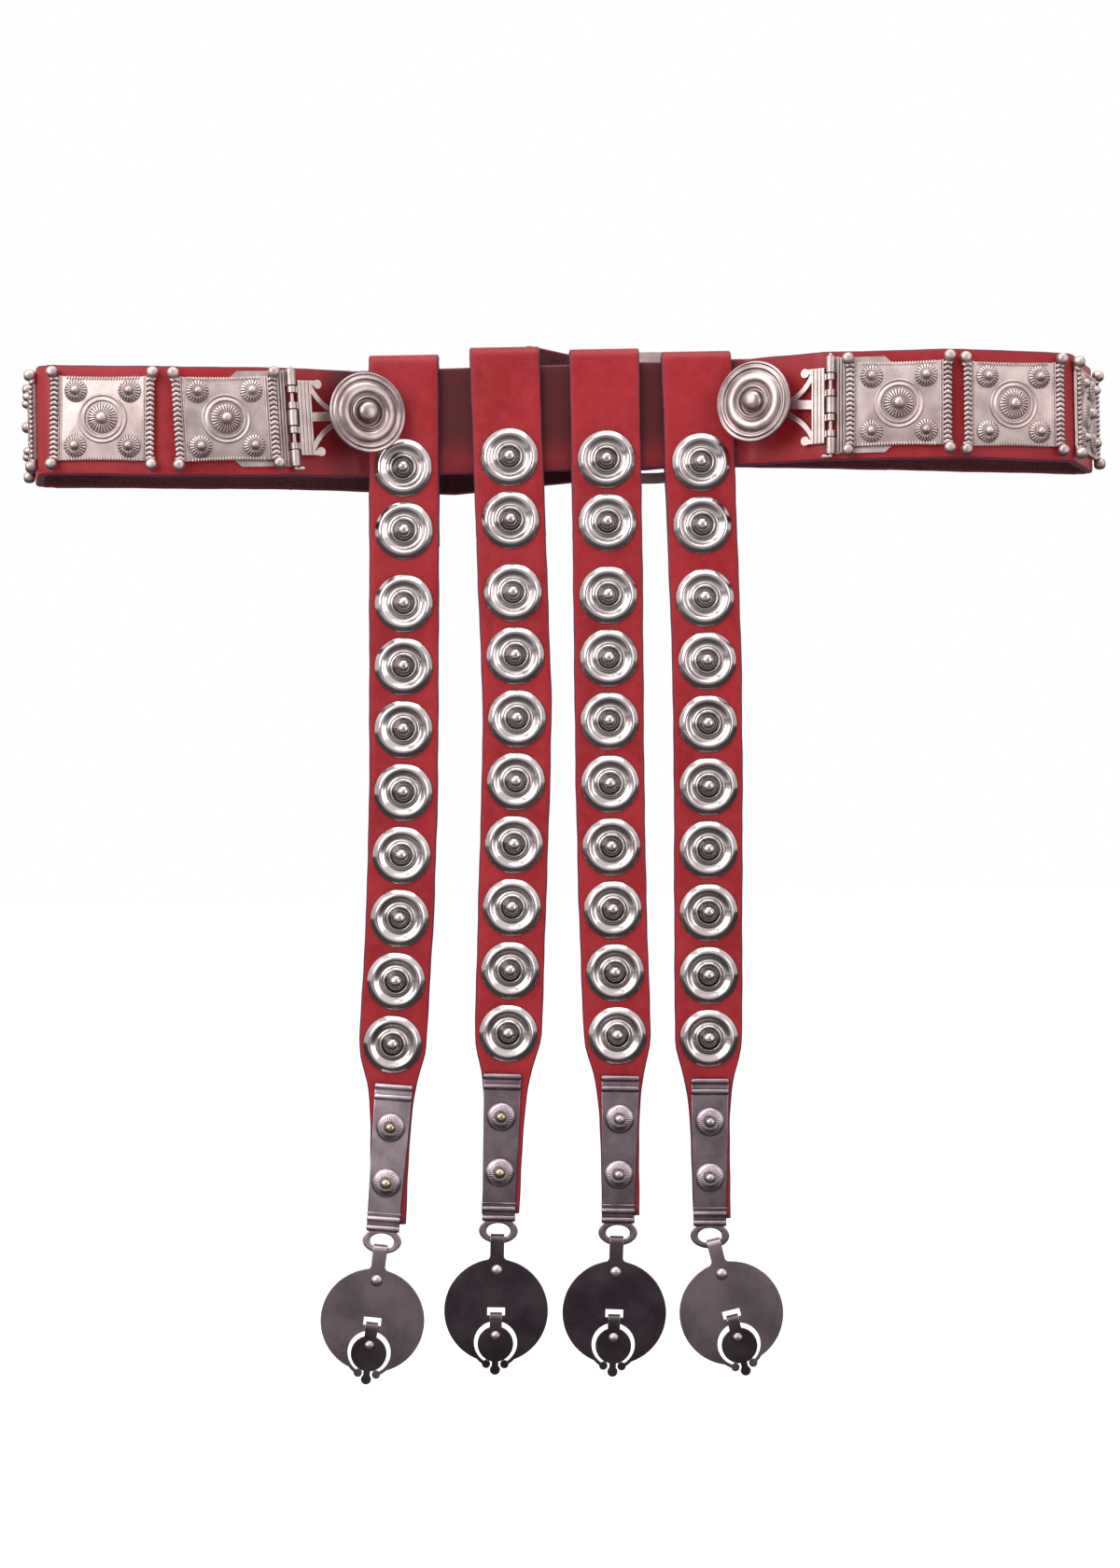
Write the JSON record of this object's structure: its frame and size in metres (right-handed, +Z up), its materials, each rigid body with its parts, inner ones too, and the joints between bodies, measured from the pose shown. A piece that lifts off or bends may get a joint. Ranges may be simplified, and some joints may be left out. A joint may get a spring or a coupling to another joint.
{
  "type": "roman military belt",
  "caption": "Leather belt with cast belt plates, hinged dagger frogs, a pronged buckle at the back and a studded apron whose straps end in disc pendants",
  "frame": {"origin": "middle of the belt loop, half way up the belt, on the wearer's axis", "axes": "+X to the right seen from the front, -Y out of the front, +Z up; the apron hangs along -Z"},
  "size_m": [0.4963, 0.0744, 0.4708],
  "materials": {
    "red_leather": "smooth dyed vegetable-tanned leather, soft sheen",
    "silvered_metal": "silvered cast metal, toned dark in the recesses",
    "bright_nickel": "bright nickel plating",
    "dark_nickel": "dark worn nickel plating with fine scratches"
  },
  "bodies": {
    "belt": {"belt_leather": "red_leather", "left_side_plate": "silvered_metal", "left_outer_plate": "silvered_metal", "left_hinge_plate": "silvered_metal", "right_hinge_plate": "silvered_metal", "right_outer_plate": "silvered_metal", "right_side_plate": "silvered_metal", "plate_rivets": "silvered_metal", "left_hinge_leaf": "silvered_metal", "right_hinge_leaf": "silvered_metal", "left_hinge_pin": "silvered_metal", "right_hinge_pin": "silvered_metal", "buckle_chape": "silvered_metal", "chape_rivets": "silvered_metal"},
    "left_frog": {"left_frog_plate": "silvered_metal", "left_frog_button": "silvered_metal"},
    "right_frog": {"right_frog_plate": "silvered_metal", "right_frog_button": "silvered_metal"},
    "buckle": {"buckle_loop": "silvered_metal"},
    "prong": {"buckle_prong": "silvered_metal"},
    "loop_1": {"loop_1_leather": "red_leather", "loop_1_studs": "bright_nickel"},
    "strap_1": {"strap_1_leather": "red_leather", "strap_1_studs": "bright_nickel", "strap_1_end": "dark_nickel", "strap_1_rosettes": "dark_nickel"},
    "pendant_1_disc": {"pendant_1": "dark_nickel", "pendant_1_rivet": "dark_nickel"},
    "drop_1_disc": {"drop_1": "dark_nickel", "drop_1_rivet": "dark_nickel"},
    "loop_2": {"loop_2_leather": "red_leather", "loop_2_studs": "bright_nickel"},
    "strap_2": {"strap_2_leather": "red_leather", "strap_2_studs": "bright_nickel", "strap_2_end": "dark_nickel", "strap_2_rosettes": "dark_nickel"},
    "pendant_2_disc": {"pendant_2": "dark_nickel", "pendant_2_rivet": "dark_nickel"},
    "drop_2_disc": {"drop_2": "dark_nickel", "drop_2_rivet": "dark_nickel"},
    "loop_3": {"loop_3_leather": "red_leather", "loop_3_studs": "bright_nickel"},
    "strap_3": {"strap_3_leather": "red_leather", "strap_3_studs": "bright_nickel", "strap_3_end": "dark_nickel", "strap_3_rosettes": "dark_nickel"},
    "pendant_3_disc": {"pendant_3": "dark_nickel", "pendant_3_rivet": "dark_nickel"},
    "drop_3_disc": {"drop_3": "dark_nickel", "drop_3_rivet": "dark_nickel"},
    "loop_4": {"loop_4_leather": "red_leather", "loop_4_studs": "bright_nickel"},
    "strap_4": {"strap_4_leather": "red_leather", "strap_4_studs": "bright_nickel", "strap_4_end": "dark_nickel", "strap_4_rosettes": "dark_nickel"},
    "pendant_4_disc": {"pendant_4": "dark_nickel", "pendant_4_rivet": "dark_nickel"},
    "drop_4_disc": {"drop_4": "dark_nickel", "drop_4_rivet": "dark_nickel"}
  },
  "joints": [
    {"name": "left_frog_hinge", "type": "hinge", "parent": "belt", "child": "left_frog", "pos_m": [-0.1179, -0.03608, -0.00249], "axis": [0.0435, 0.0127, -0.999], "range_deg": [-2, 140]},
    {"name": "right_frog_hinge", "type": "hinge", "parent": "belt", "child": "right_frog", "pos_m": [0.11854, -0.04054, -0.00181], "axis": [0.0172, -0.0027, 0.9998], "range_deg": [-2, 140]},
    {"name": "buckle_hinge", "type": "hinge", "parent": "belt", "child": "buckle", "pos_m": [0.034, 0.011, 0.0025], "axis": [0, 0, 1], "range_deg": [-2, 2]},
    {"name": "prong_hinge", "type": "hinge", "parent": "buckle", "child": "prong", "pos_m": [0.034, 0.011, 0.0005], "axis": [0, 0, 1], "range_deg": [0, 4]},
    {"name": "strap_1_slide", "type": "slide", "parent": "belt", "child": "loop_1", "axis": [1, 0, 0], "range_m": [-0.002, 0.0033]},
    {"name": "strap_1_swing", "type": "hinge", "parent": "loop_1", "child": "strap_1", "pos_m": [-0.07154, -0.0156, -0.06725], "axis": [1, 0, 0], "range_deg": [-80, 45]},
    {"name": "pendant_1_swing", "type": "hinge", "parent": "strap_1", "child": "pendant_1_disc", "pos_m": [-0.08758, -0.01785, -0.37423], "axis": [0.9925, 0, -0.1219], "range_deg": [-110, 110]},
    {"name": "drop_1_swing", "type": "hinge", "parent": "pendant_1_disc", "child": "drop_1_disc", "pos_m": [-0.09176, -0.02034, -0.40828], "axis": [0.9925, 0, -0.1219], "range_deg": [-110, 110]},
    {"name": "strap_2_slide", "type": "slide", "parent": "belt", "child": "loop_2", "axis": [1, 0, 0], "range_m": [-0.0033, 0.0033]},
    {"name": "strap_2_swing", "type": "hinge", "parent": "loop_2", "child": "strap_2", "pos_m": [-0.02303, -0.0156, -0.06325], "axis": [1, 0, 0], "range_deg": [-80, 45]},
    {"name": "pendant_2_swing", "type": "hinge", "parent": "strap_2", "child": "pendant_2_disc", "pos_m": [-0.03478, -0.01785, -0.37054], "axis": [0.9994, 0, -0.0349], "range_deg": [-110, 110]},
    {"name": "drop_2_swing", "type": "hinge", "parent": "pendant_2_disc", "child": "drop_2_disc", "pos_m": [-0.03598, -0.02034, -0.40481], "axis": [0.9994, 0, -0.0349], "range_deg": [-110, 110]},
    {"name": "strap_3_slide", "type": "slide", "parent": "belt", "child": "loop_3", "axis": [1, 0, 0], "range_m": [-0.0033, 0.0033]},
    {"name": "strap_3_swing", "type": "hinge", "parent": "loop_3", "child": "strap_3", "pos_m": [0.02017, -0.0156, -0.06505], "axis": [1, 0, 0], "range_deg": [-80, 45]},
    {"name": "pendant_3_swing", "type": "hinge", "parent": "strap_3", "child": "pendant_3_disc", "pos_m": [0.01871, -0.01785, -0.37236], "axis": [0.9986, 0, -0.0523], "range_deg": [-110, 110]},
    {"name": "drop_3_swing", "type": "hinge", "parent": "pendant_3_disc", "child": "drop_3_disc", "pos_m": [0.01691, -0.02034, -0.40661], "axis": [0.9986, 0, -0.0523], "range_deg": [-110, 110]},
    {"name": "strap_4_slide", "type": "slide", "parent": "belt", "child": "loop_4", "axis": [1, 0, 0], "range_m": [-0.0033, 0.0033]},
    {"name": "strap_4_swing", "type": "hinge", "parent": "loop_4", "child": "strap_4", "pos_m": [0.06314, -0.0156, -0.06705], "axis": [1, 0, 0], "range_deg": [-80, 45]},
    {"name": "pendant_4_swing", "type": "hinge", "parent": "strap_4", "child": "pendant_4_disc", "pos_m": [0.06259, -0.01785, -0.37426], "axis": [0.9744, 0, 0.225], "range_deg": [-110, 110]},
    {"name": "drop_4_swing", "type": "hinge", "parent": "pendant_4_disc", "child": "drop_4_disc", "pos_m": [0.07031, -0.02034, -0.40768], "axis": [0.9744, 0, 0.225], "range_deg": [-110, 110]}
  ]
}
